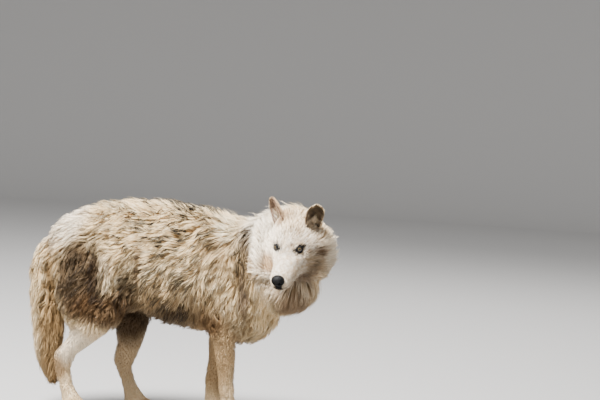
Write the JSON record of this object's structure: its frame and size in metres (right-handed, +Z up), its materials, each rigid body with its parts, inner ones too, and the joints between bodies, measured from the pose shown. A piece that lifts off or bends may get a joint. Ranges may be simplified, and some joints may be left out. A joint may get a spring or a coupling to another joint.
{
  "type": "arctic wolf model",
  "caption": "Life-size still model of an adult arctic wolf, standing with its head turned to its right, in a thick winter coat.",
  "frame": {"origin": "on the floor, below the middle of the model's box", "axes": "+X along the trunk towards the chest, +Y to the wolf's left, +Z up; the head is turned to -Y"},
  "size_m": [1.1316, 0.5078, 0.8188],
  "materials": {
    "coat": "long dense winter hair, cream white with brown tips on the back and a dark patch on the haunch",
    "nose": "black pebbled nose leather, slightly moist",
    "eye": "wet glossy eye with an amber brown iris and a dark rim",
    "claw": "dark horn, dull at the root and worn smooth at the tip"
  },
  "bodies": {
    "root": {"head": "coat", "lower_jaw": "coat", "neck": "coat", "trunk": "coat", "tail": "coat", "foreleg_right": "coat", "hindleg_right": "coat", "forepaw_right": "coat", "hindpaw_right": "coat", "foreleg_left": "coat", "hindleg_left": "coat", "forepaw_left": "coat", "hindpaw_left": "coat", "ear_right": "coat", "ear_left": "coat", "eye_right": "eye", "eye_left": "eye", "nose": "nose", "forepaw_right_claw_1": "claw", "forepaw_right_claw_2": "claw", "forepaw_right_claw_3": "claw", "forepaw_right_claw_4": "claw", "forepaw_left_claw_1": "claw", "forepaw_left_claw_2": "claw", "forepaw_left_claw_3": "claw", "forepaw_left_claw_4": "claw", "hindpaw_right_claw_1": "claw", "hindpaw_right_claw_2": "claw", "hindpaw_right_claw_3": "claw", "hindpaw_right_claw_4": "claw", "hindpaw_left_claw_1": "claw", "hindpaw_left_claw_2": "claw", "hindpaw_left_claw_3": "claw", "hindpaw_left_claw_4": "claw"}
  },
  "joints": []
}
